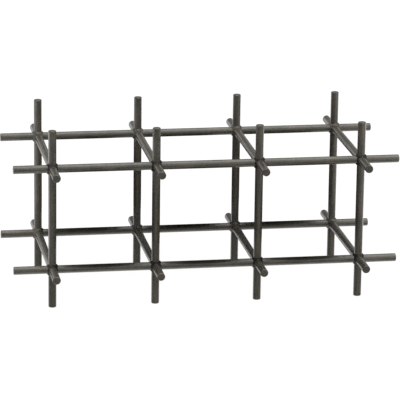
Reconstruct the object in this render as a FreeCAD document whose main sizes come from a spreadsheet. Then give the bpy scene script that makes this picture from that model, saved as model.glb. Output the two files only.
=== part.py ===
"""A table-top wine rack of welded round steel rod.

Eight uprights stand in two rows of four. Between them run four rails, an upper and a lower one in
the front row and in the back row, and eight cross rods join the front row to the back one. All three
rods of a joint lie on one point, so only the upright runs through: the rails and the cross rods are
cut to spans between the uprights and short ends outside them. Each is butted to the upright with a
root gap and welded all round, with one bead that fills the root and makes a fillet.

The frame is in millimetres. +X runs along the rack, +Y from its front row to its back row and +Z up.
The origin is on the table, under the middle of the rack. Columns are numbered from left to right.
"""

import FreeCAD
import Part
import Sketcher
import os
import sys

from FreeCAD import Placement, Rotation, Vector

BAYS = 3
COLUMNS = range(1, BAYS + 2)
ROWS = {"front": "-1", "back": "1"}
LEVELS = {"lower": "0", "upper": "1"}

# The driving dimensions, in millimetres. Each one can be changed by itself.
DRIVING = {
    # Stock: round bar, and the radius of the rim on every end that stands free.
    "rod_diameter": 7.94,
    "tip_round": 1.0,
    # The grid, from rod axis to rod axis.
    "bay_pitch": 101.6,
    "bay_height": 101.6,
    "row_spacing": 127.0,
    # How far the rods run on past the last joint.
    "foot_length": 38.1,
    "post_length": 38.1,
    "rail_overhang": 38.1,
    "cross_overhang": 38.1,
    # Each butted end stands off the upright by the root gap. The legs of its fillet run along the
    # upright and along the rod, and the turned bead is made to end this far inside the rod.
    "root_gap": 0.2,
    "weld_leg_upright": 1.2,
    "weld_leg_rod": 1.5,
    "weld_bite": 0.5,
}

# Lengths that differ by less than this are the same.
TINY = 1e-6

ALONG_X = Rotation(Vector(0, 1, 0), 90)
ALONG_MINUS_X = Rotation(Vector(0, 1, 0), -90)
ALONG_Y = Rotation(Vector(1, 0, 0), -90)
ALONG_MINUS_Y = Rotation(Vector(1, 0, 0), 90)
ALONG_Z = Rotation()
MITRE = Rotation(Vector(0, 0, 1), -45)

# The way each rod of a joint leaves its upright, turned from +X.
HEADINGS = {
    "right": Rotation(),
    "rear": Rotation(Vector(0, 0, 1), 90),
    "left": Rotation(Vector(0, 0, 1), 180),
    "fore": Rotation(Vector(0, 0, 1), 270),
}

# Where a joint lies, and where the cut end of a rod butted to an upright lies, from that point.
ROW_Y = "{side} * sizes.row_spacing / 2"
LEVEL_Z = "sizes.foot_length + {level} * sizes.bay_height"
SEAT = "(sizes.rod_diameter / 2 + sizes.root_gap)"


def column_x(column):
    """The X of a column of uprights, as an expression of the sheet."""
    return f"{column - 1 - BAYS / 2} * sizes.bay_pitch"


def make_sheet(doc):
    """The spreadsheet that holds the driving dimensions, one plain number to a cell."""
    sheet = doc.addObject("Spreadsheet::Sheet", "sizes")
    for row, (alias, value) in enumerate(DRIVING.items(), start=1):
        sheet.set(f"A{row}", alias)
        sheet.set(f"B{row}", str(value))
        sheet.setAlias(f"B{row}", alias)
    doc.recompute()
    return sheet


def place(item, rotation, x="0", y="0", z="0"):
    """Turns an object and binds its place to the sheet."""
    item.Placement = Placement(Vector(), rotation)
    for axis, expression in zip("xyz", (x, y, z)):
        item.setExpression(f"Placement.Base.{axis}", expression)


def origin_plane(body, role):
    """One of a body's own origin planes."""
    return next(f for f in body.Origin.OriginFeatures if f.Role == role)


def rim_edges(shape, heights):
    """The names of the round edges that lie at these heights along the rod."""
    found = []
    for number, edge in enumerate(shape.Edges, start=1):
        box = edge.BoundBox
        if box.ZLength < TINY and any(abs(box.ZMin - height) < TINY for height in heights):
            found.append(f"Edge{number}")
    return found


def make_rod(doc, name, length, rounded=()):
    """A length of round rod from the body's origin along its own Z.

    length is an expression. rounded names the ends, "start" or "end", that stand free and have a
    rounded rim; the other ends are cut square for welding.
    """
    body = doc.addObject("PartDesign::Body", name)
    body.Label = name
    sketch = body.newObject("Sketcher::SketchObject", f"{name}_section")
    sketch.AttachmentSupport = [(origin_plane(body, "XY_Plane"), "")]
    sketch.MapMode = "FlatFace"
    circle = sketch.addGeometry(Part.Circle(Vector(), Vector(0, 0, 1), DRIVING["rod_diameter"] / 2))
    sketch.addConstraint(Sketcher.Constraint("Coincident", circle, 3, -1, 1))
    diameter = sketch.addConstraint(Sketcher.Constraint("Diameter", circle, DRIVING["rod_diameter"]))
    sketch.setExpression(f"Constraints[{diameter}]", "sizes.rod_diameter")
    pad = body.newObject("PartDesign::Pad", f"{name}_bar")
    pad.Profile = sketch
    pad.setExpression("Length", length)
    doc.recompute()
    if rounded:
        heights = [{"start": 0, "end": pad.Length.Value}[end] for end in rounded]
        rim = body.newObject("PartDesign::Fillet", f"{name}_rim")
        rim.Base = (pad, rim_edges(pad.Shape, heights))
        rim.setExpression("Radius", "sizes.tip_round")
        body.Tip = rim
    return body


def make_uprights(doc):
    """The rods that stand on the table and run through every joint of their column."""
    parts = []
    for row, side in ROWS.items():
        for column in COLUMNS:
            upright = make_rod(
                doc,
                f"{row}_upright_{column}",
                "sizes.foot_length + sizes.bay_height + sizes.post_length",
                rounded=("start", "end"),
            )
            place(upright, ALONG_Z, column_x(column), ROW_Y.format(side=side))
            parts.append(upright)
    return parts


def make_rails(doc):
    """The rods along X: a span in each bay and a short end outside each outer upright."""
    parts = []
    for row, side in ROWS.items():
        for level_name, level in LEVELS.items():
            y = ROW_Y.format(side=side)
            z = LEVEL_Z.format(level=level)
            rail = f"{row}_{level_name}_rail"
            for bay in range(1, BAYS + 1):
                span = make_rod(doc, f"{rail}_span_{bay}", f"sizes.bay_pitch - 2 * {SEAT}")
                place(span, ALONG_X, f"{column_x(bay)} + {SEAT}", y, z)
                parts.append(span)
            for hand, column, sign, rotation in (
                ("left", COLUMNS[0], "-", ALONG_MINUS_X),
                ("right", COLUMNS[-1], "+", ALONG_X),
            ):
                end = make_rod(
                    doc, f"{rail}_{hand}_end", f"sizes.rail_overhang - {SEAT}", rounded=("end",)
                )
                place(end, rotation, f"{column_x(column)} {sign} {SEAT}", y, z)
                parts.append(end)
    return parts


def make_cross_rods(doc):
    """The rods along Y: a span between the rows and a short end outside each row."""
    parts = []
    for level_name, level in LEVELS.items():
        for column in COLUMNS:
            x = column_x(column)
            z = LEVEL_Z.format(level=level)
            rod = f"{level_name}_cross_rod_{column}"
            span = make_rod(doc, f"{rod}_span", f"sizes.row_spacing - 2 * {SEAT}")
            place(span, ALONG_Y, x, f"{SEAT} - sizes.row_spacing / 2", z)
            parts.append(span)
            for row, sign, rotation in (("front", "-", ALONG_MINUS_Y), ("back", "+", ALONG_Y)):
                end = make_rod(
                    doc, f"{rod}_{row}_end", f"sizes.cross_overhang - {SEAT}", rounded=("end",)
                )
                place(end, rotation, x, f"{sign}(sizes.row_spacing / 2 + {SEAT})", z)
                parts.append(end)
    return parts


def make_solid(doc, kind, name, rotation, start="0", **sizes):
    """A Part primitive turned about the origin and moved along its own turned Z by start.

    start and the sizes are expressions.
    """
    item = doc.addObject(kind, name)
    for size, expression in sizes.items():
        item.setExpression(size, expression)
    steps = [f"{round(share)} * ({start})" for share in rotation.multVec(Vector(0, 0, 1))]
    place(item, rotation, *steps)
    return item


def join(doc, kind, name, *items):
    """A boolean of several objects."""
    result = doc.addObject(kind, name)
    result.Shapes = items
    return result


def make_bead(doc):
    """The weld bead round the end of one rod, for a rod along +X butted to an upright at the origin.

    It is turned stock about the rod: a disc one leg wider than the rod out to half way across the
    root gap, then a slope down to the bar. The two rods and the mitres to the beads beside it are
    cut from that, which leaves a fillet in each inside corner and fills the root.
    """
    radius = "sizes.rod_diameter / 2"
    rim = f"{radius} + sizes.weld_leg_upright"
    face = f"{radius} + sizes.root_gap / 2"
    slope = "(sizes.weld_leg_upright + sizes.weld_bite) * sizes.weld_leg_rod / sizes.weld_leg_upright"
    reach = f"2 * ({rim} + {slope})"
    disc = make_solid(doc, "Part::Cylinder", "bead_disc", ALONG_X, Radius=rim, Height=face)
    cone = make_solid(
        doc,
        "Part::Cone",
        "bead_slope",
        ALONG_X,
        face,
        Radius1=rim,
        Radius2=f"{radius} - sizes.weld_bite",
        Height=slope,
    )
    wedge = make_solid(
        doc,
        "Part::Box",
        "bead_mitres",
        MITRE,
        f"-({reach})",
        Length=reach,
        Width=reach,
        Height=f"2 * ({reach})",
    )
    upright = make_solid(
        doc,
        "Part::Cylinder",
        "bead_upright",
        ALONG_Z,
        f"-({reach})",
        Radius=radius,
        Height=f"2 * ({reach})",
    )
    rod = make_solid(doc, "Part::Cylinder", "bead_rod", ALONG_X, SEAT, Radius=radius, Height=reach)
    turned = join(doc, "Part::MultiFuse", "bead_turned", disc, cone)
    mitred = join(doc, "Part::MultiCommon", "bead_mitred", turned, wedge)
    rods = join(doc, "Part::MultiFuse", "bead_rods", upright, rod)
    bead = doc.addObject("Part::Cut", "bead")
    bead.Base = mitred
    bead.Tool = rods
    return bead


def make_welds(doc):
    """The weld metal on each upright: at each level, a bead round each of its four rods."""
    bead = make_bead(doc)
    parts = []
    for row, side in ROWS.items():
        for column in COLUMNS:
            name = f"{row}_welds_{column}"
            beads = []
            for level_name, level in LEVELS.items():
                for heading, rotation in HEADINGS.items():
                    copy = doc.addObject("App::Link", f"{name}_{level_name}_{heading}")
                    copy.LinkedObject = bead
                    copy.LinkTransform = False
                    place(
                        copy,
                        rotation,
                        column_x(column),
                        ROW_Y.format(side=side),
                        LEVEL_Z.format(level=level),
                    )
                    beads.append(copy)
            welds = doc.addObject("Part::Compound", name)
            welds.Label = name
            welds.Links = beads
            parts.append(welds)
    return parts


def check(doc, parts):
    """Stops if any object failed to rebuild or any part has no valid solid."""
    failed = [o.Name for o in doc.Objects if "Invalid" in o.State or "Error" in o.State]
    if failed:
        sys.exit(f"these objects failed: {failed}")
    for part in parts:
        shape = part.Shape
        if shape.isNull() or not shape.isValid() or not shape.Solids:
            sys.exit(f"{part.Label} has no valid shape")


def main():
    doc = FreeCAD.newDocument("wine_rack")
    make_sheet(doc)
    parts = make_uprights(doc) + make_rails(doc) + make_cross_rods(doc) + make_welds(doc)
    doc.recompute()
    check(doc, parts)
    os.makedirs("parts", exist_ok=True)
    for part in parts:
        part.Shape.exportStep(os.path.join("parts", f"{part.Label}.step"))
    volume = sum(part.Shape.Volume for part in parts)
    print(f"{len(parts)} parts, {volume / 1000:.1f} cm3 of metal")


main()
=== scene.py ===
"""The looks of a welded wine rack of round steel rod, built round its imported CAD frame.

Lengths are in metres, in the frame of the CAD: +X along the rack, +Y from its front row to its back
row, +Z up, with the origin on the table under its middle. The rods are the CAD's own, with a satin
powder coat. The weld beads of the CAD are replaced by fillets with the ripple of real weld metal.
"""

import bmesh
import bpy
import math
import numpy as np
from mathutils import Matrix, Vector, noise


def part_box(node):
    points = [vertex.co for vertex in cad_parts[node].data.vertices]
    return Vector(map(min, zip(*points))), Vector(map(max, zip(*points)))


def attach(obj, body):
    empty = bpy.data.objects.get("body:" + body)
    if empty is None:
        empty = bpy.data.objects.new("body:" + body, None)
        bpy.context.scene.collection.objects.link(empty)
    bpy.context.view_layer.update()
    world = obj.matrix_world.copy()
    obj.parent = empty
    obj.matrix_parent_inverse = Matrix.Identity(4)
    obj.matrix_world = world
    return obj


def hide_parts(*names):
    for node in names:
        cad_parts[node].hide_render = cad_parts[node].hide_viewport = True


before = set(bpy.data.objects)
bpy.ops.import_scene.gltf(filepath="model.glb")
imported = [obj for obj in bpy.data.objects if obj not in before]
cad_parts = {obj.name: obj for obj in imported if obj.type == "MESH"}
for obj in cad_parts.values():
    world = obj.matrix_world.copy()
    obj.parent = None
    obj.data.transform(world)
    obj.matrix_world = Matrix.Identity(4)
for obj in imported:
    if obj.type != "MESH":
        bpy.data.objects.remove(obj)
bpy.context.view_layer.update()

MM = 0.001
ROWS = ("front", "back")
LEVELS = ("lower", "upper")
COLUMNS = range(1, 5)


def middle(node):
    """The centre of a CAD node's box."""
    low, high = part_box(node)
    return (low + high) / 2


def rod_radius():
    """The radius of the rod, from the width of an upright."""
    low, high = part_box("front_upright_1")
    return (high.x - low.x) / 2


# ---------------------------------------------------------------------------------------------
# Nodes
# ---------------------------------------------------------------------------------------------


class Graph:
    """A short way to write a material's or a world's nodes."""

    def __init__(self, owner):
        owner.use_nodes = True
        self.tree = owner.node_tree
        self.tree.nodes.clear()

    def add(self, kind, inputs=None, **settings):
        """A node with its settings, and its inputs as values or as other nodes' sockets."""
        node = self.tree.nodes.new(kind)
        for name, value in settings.items():
            setattr(node, name, value)
        for name, value in (inputs or {}).items():
            socket = node.inputs[name]
            if isinstance(value, bpy.types.NodeSocket):
                self.tree.links.new(value, socket)
            else:
                socket.default_value = value
        return node

    def total(self, a, b):
        """The sum of two values."""
        return self.add("ShaderNodeMath", {0: a, 1: b}, operation="ADD").outputs[0]

    def noise(self, place, scale, detail, rough):
        """The value of a Noise texture, about 0.5 on average."""
        inputs = {"Vector": place, "Scale": scale, "Detail": detail, "Roughness": rough}
        return self.add("ShaderNodeTexNoise", inputs).outputs["Fac"]

    def blend(self, values, weights):
        """The weighted sum of the values that the weights name."""
        total = 0.0
        for name, weight in weights.items():
            inputs = {0: values[name], 1: weight, 2: total}
            total = self.add("ShaderNodeMath", inputs, operation="MULTIPLY_ADD").outputs[0]
        return total

    def squeeze(self, place, axis, scale):
        """Coordinates scaled along one axis."""
        scales = [1.0, 1.0, 1.0]
        scales[axis] = scale
        return self.add("ShaderNodeMapping", {"Vector": place, "Scale": scales}).outputs[0]

    def ramp(self, value, stops):
        """The colour of a Color Ramp, from (position, colour) pairs."""
        node = self.add("ShaderNodeValToRGB", {"Fac": value})
        points = node.color_ramp.elements
        while len(points) < len(stops):
            points.new(1.0)
        for point, (position, colour) in zip(points, stops):
            point.position = position
            point.color = (*colour, 1.0)
        return node.outputs["Color"]

    def between(self, value, low, high, to_low, to_high):
        """A value mapped from one range to another and held at its ends."""
        inputs = {"Value": value, 1: low, 2: high, 3: to_low, 4: to_high}
        return self.add("ShaderNodeMapRange", inputs).outputs[0]


# ---------------------------------------------------------------------------------------------
# Materials
# ---------------------------------------------------------------------------------------------

# Nearly all of a noise's values lie in this range.
NOISE_RANGE = (0.3, 0.7)

# The noises of the rods' coat: cells in a metre, detail and roughness. They are its clouds, its mottling,
# the lines left by drawing, its grain and the soft waves of sprayed powder.
COAT_NOISES = {
    "cloud": (45.0, 3.0, 0.6),
    "mottle": (420.0, 2.0, 0.6),
    "drawn": (1000.0, 3.0, 0.6),
    "grain": (2600.0, 2.0, 0.6),
    "peel": (900.0, 1.0, 0.5),
}

# The lines left by drawing are longer than they are wide, because their noise changes this much more
# slowly along the rod.
DRAWN_SQUEEZE = 0.06

# How much each noise adds to the coat's tone, and to its height.
COAT_TONE_PARTS = {"cloud": 0.3, "mottle": 0.3, "drawn": 0.4}
COAT_HEIGHT_PARTS = {"peel": 0.6, "grain": 0.15, "drawn": 0.55}

# The coat's colours from dark to light, the tones where they stand, and how rough the coat is at the
# first and the last of these tones. The grain makes it rougher or smoother by up to COAT_SPECKLE.
COAT_COLOURS = ((0.030, 0.026, 0.021), (0.062, 0.057, 0.043), (0.094, 0.075, 0.058))
COAT_STOPS = (0.38, 0.5, 0.62)
COAT_ROUGH = (0.32, 0.20)
COAT_SPECKLE = 0.05
COAT_BUMP = {"Strength": 0.3, "Distance": 0.15 * MM}

# The coat of each kind of rod: the axis that the rod runs along, and how light its coat is. All rods
# share one coat; the cross rods' lower lightness is painted shade.
ROD_COATS_WITH_PAINTED_SHADE = {"rail": (0, 1.0), "cross_rod": (1, 0.84), "upright": (2, 1.0)}

# The same for the weld metal. Each row has its two colours, and how strongly it shines. The front row's
# nearly black colours are painted shade of the crevices at the front joints.
WELD_NOISES = {"blotch": (500.0, 3.0, 0.6), "grain": (3000.0, 2.0, 0.6)}
WELD_HEIGHT_PARTS = {"blotch": 0.5, "grain": 0.3}
WELD_STOPS = (0.35, 0.65)
WELD_ROUGH = (0.6, 0.42)
WELD_BUMP = {"Strength": 0.4, "Distance": 0.2 * MM}
WELD_LOOKS_WITH_PAINTED_SHADE = {
    # Painted shade: these nearly black colours darken the front welds to stand for the shade in their
    # crevices.
    "front": ((0.004, 0.0035, 0.003), (0.016, 0.014, 0.012), 0.25),
    "back": ((0.028, 0.025, 0.020), (0.085, 0.076, 0.060), 0.6),
}


def finish_material(graph, colour, rough, height, bump, **more):
    """Ends a material's graph with its bump and its shader."""
    normal = graph.add("ShaderNodeBump", {"Height": height, **bump}).outputs[0]
    inputs = {"Base Color": colour, "Roughness": rough, "Normal": normal, **more}
    shader = graph.add("ShaderNodeBsdfPrincipled", inputs)
    graph.add("ShaderNodeOutputMaterial", {"Surface": shader.outputs[0]})


def coat_material(name, along, lightness_with_painted_shade):
    """Satin powder coat on drawn rod that runs along an axis, given as an index: 0 is X, 2 is Z."""
    material = bpy.data.materials.new(name)
    graph = Graph(material)
    place = graph.add("ShaderNodeTexCoord").outputs["Object"]
    places = {"drawn": graph.squeeze(place, along, DRAWN_SQUEEZE)}
    noises = {key: graph.noise(places.get(key, place), *look) for key, look in COAT_NOISES.items()}
    tone = graph.blend(noises, COAT_TONE_PARTS)
    # A lightness under 1 darkens the coat as painted shade.
    colours = [[lightness_with_painted_shade * part for part in colour] for colour in COAT_COLOURS]
    colour = graph.ramp(tone, list(zip(COAT_STOPS, colours)))
    satin = graph.between(tone, COAT_STOPS[0], COAT_STOPS[-1], *COAT_ROUGH)
    speckle = graph.between(noises["grain"], *NOISE_RANGE, -COAT_SPECKLE, COAT_SPECKLE)
    rough = graph.total(speckle, satin)
    height = graph.blend(noises, COAT_HEIGHT_PARTS)
    finish_material(graph, colour, rough, height, COAT_BUMP)
    return material


def weld_material(row):
    """The coat over weld metal: rougher and more uneven than on the rods. In front it is nearly black,
    which is painted shade of the crevices at the front joints.
    """
    dark, light, shine = WELD_LOOKS_WITH_PAINTED_SHADE[row]
    material = bpy.data.materials.new(f"weld_coat_and_painted_shade_{row}")
    graph = Graph(material)
    place = graph.add("ShaderNodeTexCoord").outputs["Object"]
    noises = {key: graph.noise(place, *look) for key, look in WELD_NOISES.items()}
    # In the front row the ramp's colours are painted shade.
    colour = graph.ramp(noises["blotch"], list(zip(WELD_STOPS, (dark, light))))
    rough = graph.between(noises["blotch"], *NOISE_RANGE, *WELD_ROUGH)
    height = graph.blend(noises, WELD_HEIGHT_PARTS)
    finish_material(graph, colour, rough, height, WELD_BUMP, **{"Specular IOR Level": shine})
    return material


def coat_rods():
    """Gives every rod of the CAD the coat that is drawn along its own axis."""
    coats = {word: coat_material(f"coat_{word}", *look) for word, look in ROD_COATS_WITH_PAINTED_SHADE.items()}
    for name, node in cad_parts.items():
        for word, coat in coats.items():
            if word in name:
                for slot in node.material_slots:
                    slot.material = coat


# ---------------------------------------------------------------------------------------------
# Weld metal
# ---------------------------------------------------------------------------------------------

# Each seam's bead is a convex roll in the inside corner between two skins. Its size is how far it
# reaches up each of them. The index is the axis that the seam runs along: 0 between cross rod and
# upright, 1 between rail and upright, 2 between rail and cross rod.
BEAD_SIZE = (1.5 * MM, 1.5 * MM, 1.1 * MM)

# The power of the curve across a bead (1 is a flat fillet, and more is fuller), the share by which its
# size swings, over about what length, and how softly the beads of a joint run into each other.
BEAD_BULGE = 1.45
BEAD_SWING = 0.16
BEAD_LUMP = 2.6 * MM
BEAD_BLEND = 0.25 * MM

# The ripples along a bead: their pitch, their height, and how far they bow towards its edges.
RIPPLE_PITCH = 0.95 * MM
RIPPLE_HEIGHT = 0.11 * MM
RIPPLE_BOW = 1.6

# The metal hides this far under the rods' skin where there is no bead. It is a ball of this many cells
# a side. How far each corner reaches is found by halving a range, from this share of the rods' radius
# to this far outside their skin.
WELD_SUNK = 0.06 * MM
WELD_STEPS = 44
SEARCH_START = 0.5
SEARCH_PAST = 2.9 * MM
SEARCH_HALVINGS = 26

# What the chance part of the metal starts from, and how far apart the lumps of two joints are drawn.
WELD_SEED = 41
JOINT_SHIFT = (7.3, 3.1, 11.7)


def ball(steps):
    """Unit directions and faces of a cube of square cells blown up to a ball."""
    mesh = bmesh.new()
    bmesh.ops.create_cube(mesh, size=2.0)
    bmesh.ops.subdivide_edges(mesh, edges=mesh.edges[:], cuts=steps - 1, use_grid_fill=True)
    directions = np.array([vert.co for vert in mesh.verts])
    directions = np.tan(directions * math.pi / 4)
    directions /= np.linalg.norm(directions, axis=1)[:, None]
    faces = [[vert.index for vert in face.verts] for face in mesh.faces]
    mesh.free()
    return directions, faces


def weld_surface(directions, radius, joint):
    """How far the metal of one joint reaches from its centre in each direction.

    Three rods of this radius cross at the centre. The metal is a rippled roll in the corner between
    each two of them, and inside the rods it stays just under their skin.
    """
    shift = Vector([step * joint for step in JOINT_SHIFT])
    lump = np.array([noise.noise(Vector(d) * (radius / BEAD_LUMP) + shift) for d in directions])
    phases = [2 * math.pi * noise.random() for _ in range(3)]

    def outside(reach):
        points = directions * reach[:, None]
        gaps = [np.hypot(points[:, (i + 1) % 3], points[:, (i + 2) % 3]) - radius for i in range(3)]
        rods = np.minimum.reduce(gaps) + WELD_SUNK
        merged = 0
        for i, size in enumerate(BEAD_SIZE):
            a, b = (np.maximum(gaps[(i + k) % 3], 0) for k in (1, 2))
            bow = RIPPLE_BOW * ((a - b) / size) ** 2
            wave = np.cos(2 * math.pi * points[:, i] / RIPPLE_PITCH + phases[i] + bow)
            roll = (a**BEAD_BULGE + b**BEAD_BULGE) ** (1 / BEAD_BULGE)
            bead = roll - size * (1 + BEAD_SWING * lump) - RIPPLE_HEIGHT * wave
            merged = merged + np.exp(-bead / BEAD_BLEND)
        return np.minimum(rods, -BEAD_BLEND * np.log(merged))

    low = np.full(len(directions), SEARCH_START * radius)
    high = np.full(len(directions), radius + SEARCH_PAST)
    for _ in range(SEARCH_HALVINGS):
        half = (low + high) / 2
        within = outside(half) < 0
        low = np.where(within, half, low)
        high = np.where(within, high, half)
    return (low + high) / 2


def make_welds():
    """The weld metal on each upright: the fillets of its two joints, as one piece."""
    radius = rod_radius()
    directions, faces = ball(WELD_STEPS)
    noise.seed_set(WELD_SEED)
    joint = 0
    for row in ROWS:
        material = weld_material(row)
        for column in COLUMNS:
            upright = middle(f"{row}_upright_{column}")
            points, quads = [], []
            for level in LEVELS:
                rail = middle(f"{row}_{level}_rail_span_1")
                centre = np.array((upright.x, upright.y, rail.z))
                joint += 1
                start = len(points)
                reach = weld_surface(directions, radius, joint)
                points.extend(centre + directions * reach[:, None])
                quads.extend([start + corner for corner in face] for face in faces)
            name = f"{row}_fillet_welds_{column}"
            mesh = bpy.data.meshes.new(name)
            mesh.from_pydata([tuple(point) for point in points], [], quads)
            mesh.polygons.foreach_set("use_smooth", [True] * len(mesh.polygons))
            mesh.materials.append(material)
            piece = bpy.data.objects.new(name, mesh)
            bpy.context.scene.collection.objects.link(piece)
            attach(piece, "root")
            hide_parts(f"{row}_welds_{column}")


# ---------------------------------------------------------------------------------------------
# Studio
# ---------------------------------------------------------------------------------------------

# The floor's side, how light its paint is, and its glow. Paint and glow together come out just white.
FLOOR_SIZE = 16.0
FLOOR_WHITE = 0.05
FLOOR_GLOW = 0.98

# The white tent and floor that light the rack, as soft patches: azimuth from +X towards +Y and height
# in degrees, how many degrees the patch reaches out, and how bright its middle is. Between them the
# tent is dim.
TENT_DIM = 0.27
TENT = (
    ("overhead", 0, 90, 46, 3.75),
    ("key", -50, 36, 50, 1.25),
    ("front", -95, 5, 40, 0.35),
    ("horizon_behind_left", 135, -2, 34, 1.95),
    ("floor_behind", 90, -20, 35, 0.5),
    ("floor_behind_right", 48, -24, 38, 2.2),
    ("floor_under", 0, -90, 60, 1.55),
)

# Small soft boxes off the rack's two ends: place, the point that it faces, its side and its watts.
SOFTBOXES = (
    ("softbox_left", (-0.33, 0.0, 0.1), (-0.17, 0.0, 0.09), 0.2, 0.23),
    ("softbox_right", (0.33, 0.0, 0.1), (0.17, 0.0, 0.09), 0.2, 0.095),
    ("softbox_front_left", (-0.33, -0.25, 0.1), (-0.17, -0.05, 0.09), 0.2, 0.06),
    ("softbox_front_right", (0.33, -0.25, 0.1), (0.17, -0.05, 0.09), 0.2, 0.125),
)

# Nearly black drums in the bays, where bottles would lie, keep the light off the rods' inner sides, as
# flags do in a studio. They hang this far above the lower rails, and reach from front to back.
FLAG_GREY = 0.06
FLAG_SIDES = 48
FLAG_RADIUS = 36 * MM
FLAG_LIFT = 5 * MM
FLAG_FRONT = -82 * MM
FLAG_BACK = 160 * MM


def make_floor():
    """A wide pale floor. It lights nothing itself: the world's lower half stands for its bounce."""
    half = FLOOR_SIZE / 2
    mesh = bpy.data.meshes.new("floor")
    corners = [(-half, -half, 0), (half, -half, 0), (half, half, 0), (-half, half, 0)]
    mesh.from_pydata(corners, [], [(0, 1, 2, 3)])
    material = bpy.data.materials.new("floor_paper")
    graph = Graph(material)
    white = (FLOOR_WHITE, FLOOR_WHITE, FLOOR_WHITE, 1)
    matt = graph.add("ShaderNodeBsdfDiffuse", {"Color": white})
    glow = graph.add("ShaderNodeEmission", {"Color": (1, 1, 1, 1), "Strength": FLOOR_GLOW})
    both = graph.add("ShaderNodeAddShader", {0: matt.outputs[0], 1: glow.outputs[0]})
    graph.add("ShaderNodeOutputMaterial", {"Surface": both.outputs[0]})
    mesh.materials.append(material)
    floor = bpy.data.objects.new("floor", mesh)
    bpy.context.scene.collection.objects.link(floor)
    floor.visible_diffuse = False
    floor.visible_glossy = False
    floor.visible_shadow = False


def make_world():
    """The tent, which looks plain white to the camera itself."""
    world = bpy.data.worlds.new("tent")
    bpy.context.scene.world = world
    graph = Graph(world)
    way = graph.add("ShaderNodeTexCoord").outputs["Generated"]
    total = TENT_DIM
    for _, azimuth, height, width, bright in TENT:
        turn, rise = math.radians(azimuth), math.radians(height)
        axis = (math.cos(rise) * math.cos(turn), math.cos(rise) * math.sin(turn), math.sin(rise))
        facing = graph.add("ShaderNodeVectorMath", {0: way, 1: axis}, operation="DOT_PRODUCT")
        lobe = graph.between(facing.outputs["Value"], math.cos(math.radians(width)), 1.0, 0.0, bright)
        total = graph.total(lobe, total)
    light = graph.add("ShaderNodeBackground", {"Color": (1, 1, 1, 1), "Strength": total})
    seen = graph.add("ShaderNodeBackground", {"Color": (1, 1, 1, 1), "Strength": 1.0})
    to_camera = graph.add("ShaderNodeLightPath").outputs["Is Camera Ray"]
    both = graph.add("ShaderNodeMixShader", {0: to_camera, 1: light.outputs[0], 2: seen.outputs[0]})
    graph.add("ShaderNodeOutputWorld", {"Surface": both.outputs[0]})


def make_softbox(name, place, target, side, watts):
    """A square soft light that faces a point and isn't seen itself."""
    light = bpy.data.lights.new(name, "AREA")
    light.size = side
    light.energy = watts
    lamp = bpy.data.objects.new(name, light)
    lamp.location = place
    lamp.rotation_euler = (Vector(target) - Vector(place)).to_track_quat("-Z", "Y").to_euler()
    lamp.visible_camera = False
    bpy.context.scene.collection.objects.link(lamp)


def make_flags():
    """The flags, which the camera doesn't see: one drum in each bay."""
    material = bpy.data.materials.new("flag_cloth")
    graph = Graph(material)
    matt = graph.add("ShaderNodeBsdfDiffuse", {"Color": (FLAG_GREY, FLAG_GREY, FLAG_GREY, 1)})
    graph.add("ShaderNodeOutputMaterial", {"Surface": matt.outputs[0]})
    for bay in range(1, len(COLUMNS)):
        low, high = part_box(f"front_lower_rail_span_{bay}")
        height = high.z + FLAG_LIFT + FLAG_RADIUS
        place = ((low.x + high.x) / 2, (FLAG_FRONT + FLAG_BACK) / 2, height)
        drum = bmesh.new()
        bmesh.ops.create_cone(
            drum, cap_ends=True, segments=FLAG_SIDES, radius1=FLAG_RADIUS, radius2=FLAG_RADIUS,
            depth=FLAG_BACK - FLAG_FRONT,
            matrix=Matrix.Translation(place) @ Matrix.Rotation(math.pi / 2, 4, "X"),
        )
        mesh = bpy.data.meshes.new(f"flag_{bay}")
        drum.to_mesh(mesh)
        drum.free()
        mesh.materials.append(material)
        flag = bpy.data.objects.new(f"flag_{bay}", mesh)
        bpy.context.scene.collection.objects.link(flag)
        flag.visible_camera = False


# The camera stands in front of the rack, a little to its left, and looks down on it. Its angles are in
# degrees, and its lens and sensor in millimetres.
CAMERA_PLACE = (-0.4536, -2.6828, 0.8503)
CAMERA_TURN = 9.667
CAMERA_DIP = 15.696
CAMERA_ROLL = 0.786
CAMERA_LENS = 254.35
CAMERA_SENSOR = 36.0
CAMERA_REACH = 50.0


def make_camera():
    """A camera far away, with a long lens."""
    camera = bpy.data.cameras.new("camera")
    camera.lens = CAMERA_LENS
    camera.sensor_width = CAMERA_SENSOR
    camera.clip_end = CAMERA_REACH
    holder = bpy.data.objects.new("camera", camera)
    turn = Matrix.Rotation(math.radians(-CAMERA_TURN), 4, "Z")
    dip = Matrix.Rotation(math.radians(90 - CAMERA_DIP), 4, "X")
    roll = Matrix.Rotation(math.radians(CAMERA_ROLL), 4, "Z")
    holder.matrix_world = Matrix.Translation(CAMERA_PLACE) @ turn @ dip @ roll
    bpy.context.scene.collection.objects.link(holder)
    bpy.context.scene.camera = holder


def make_studio():
    """The floor, the light, the camera and how the picture is shown."""
    make_floor()
    make_world()
    for softbox in SOFTBOXES:
        make_softbox(*softbox)
    make_flags()
    make_camera()
    bpy.context.scene.view_settings.view_transform = "Standard"


make_studio()
coat_rods()
make_welds()
